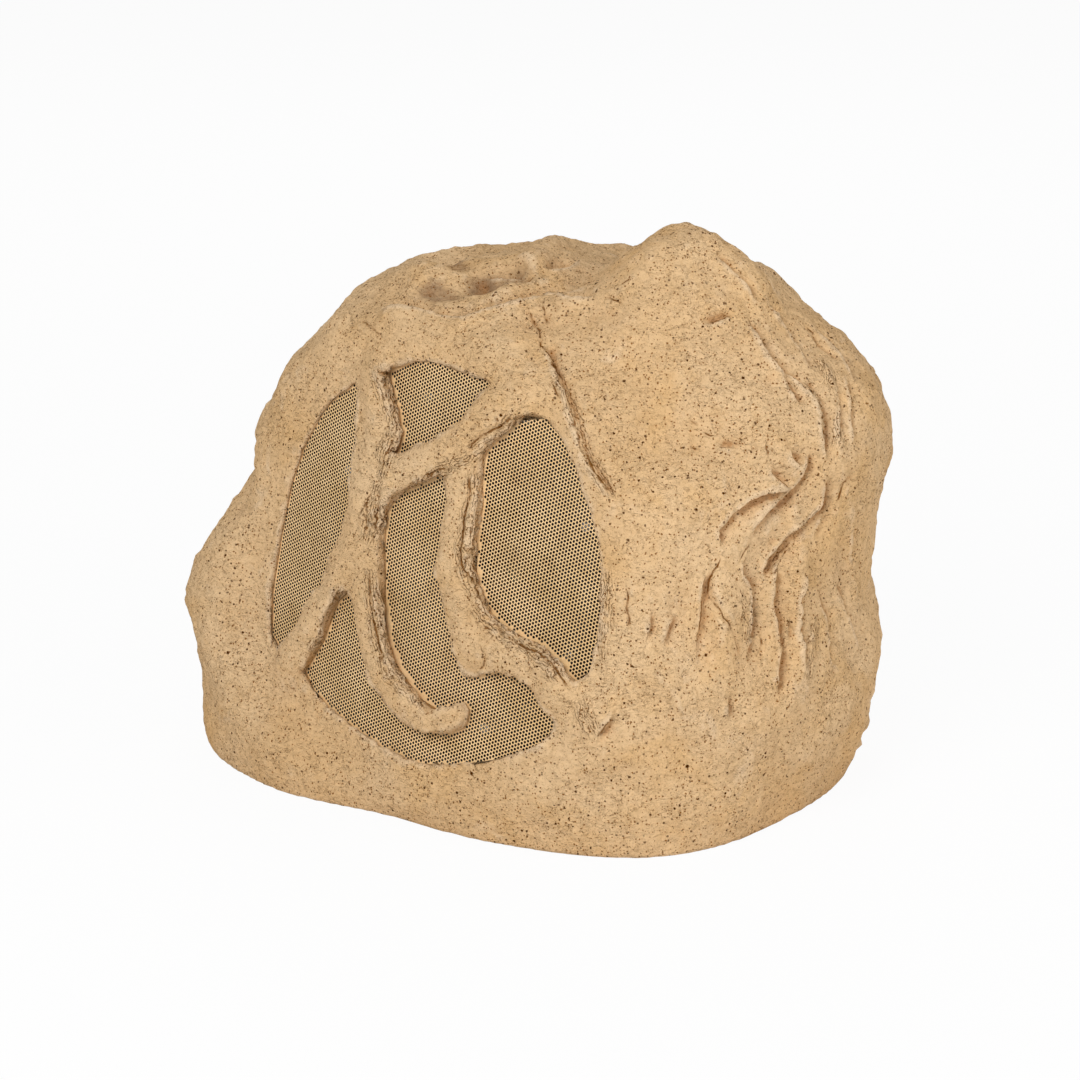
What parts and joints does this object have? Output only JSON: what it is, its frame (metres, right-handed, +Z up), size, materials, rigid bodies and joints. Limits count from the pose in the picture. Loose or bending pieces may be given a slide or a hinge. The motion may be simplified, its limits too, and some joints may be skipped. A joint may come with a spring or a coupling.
{
  "type": "rock speaker",
  "caption": "Outdoor loudspeaker shaped as a sandstone boulder, with a bowed grille behind stone fingers, a coaxial driver inside and a cable gland at the rear.",
  "frame": {"origin": "middle of the overall box at the height of the ground the boulder stands on", "axes": "+Z up, the grille faces -Y and leans back, +X to the right of someone looking along +Y"},
  "size_m": [0.4231, 0.3418, 0.3453],
  "materials": {
    "sandstone": "matte",
    "grille_paint": "matte",
    "black_plastic": "matte",
    "foam": "matte",
    "board": "matte",
    "screw_steel": "satin",
    "basket_paint": "satin",
    "surround_rubber": "matte",
    "cone_plastic": "satin",
    "copper": "satin",
    "spider_cloth": "matte",
    "plate_steel": "satin",
    "ferrite": "matte",
    "dome_silk": "matte",
    "circuit_board": "satin",
    "capacitor_sleeve": "gloss",
    "resistor_ceramic": "matte",
    "gland_plastic": "satin"
  },
  "bodies": {
    "boulder": {"rock_shell": "sandstone", "grille": "grille_paint", "grille_ring": "black_plastic", "baffle_gasket": "foam", "baffle": "board", "baffle_screws": "screw_steel", "woofer_gasket": "foam", "woofer_basket": "basket_paint", "woofer_surround": "surround_rubber", "woofer_spider": "spider_cloth", "top_plate": "plate_steel", "woofer_magnet": "ferrite", "yoke": "plate_steel", "woofer_screws": "screw_steel", "tweeter_post": "plate_steel", "tweeter_housing": "black_plastic", "tweeter_dome": "dome_silk", "crossover_board": "circuit_board", "crossover_inductor": "copper", "crossover_capacitors": "capacitor_sleeve", "crossover_resistor": "resistor_ceramic", "crossover_screws": "screw_steel", "base_plate": "black_plastic", "base_gasket": "foam", "base_screws": "screw_steel", "gland_body": "gland_plastic", "gland_seal": "foam", "gland_nut": "gland_plastic", "gland_locknut": "gland_plastic"},
    "cone": {"woofer_cone": "cone_plastic", "voice_coil": "copper"}
  },
  "joints": [
    {"name": "cone_slide", "type": "slide", "parent": "boulder", "child": "cone", "axis": [0, -0.9781, 0.2079], "range_m": [-0.004, 0.004], "stiffness_N_per_m": 1800, "deforming": ["woofer_surround", "woofer_spider"]}
  ]
}
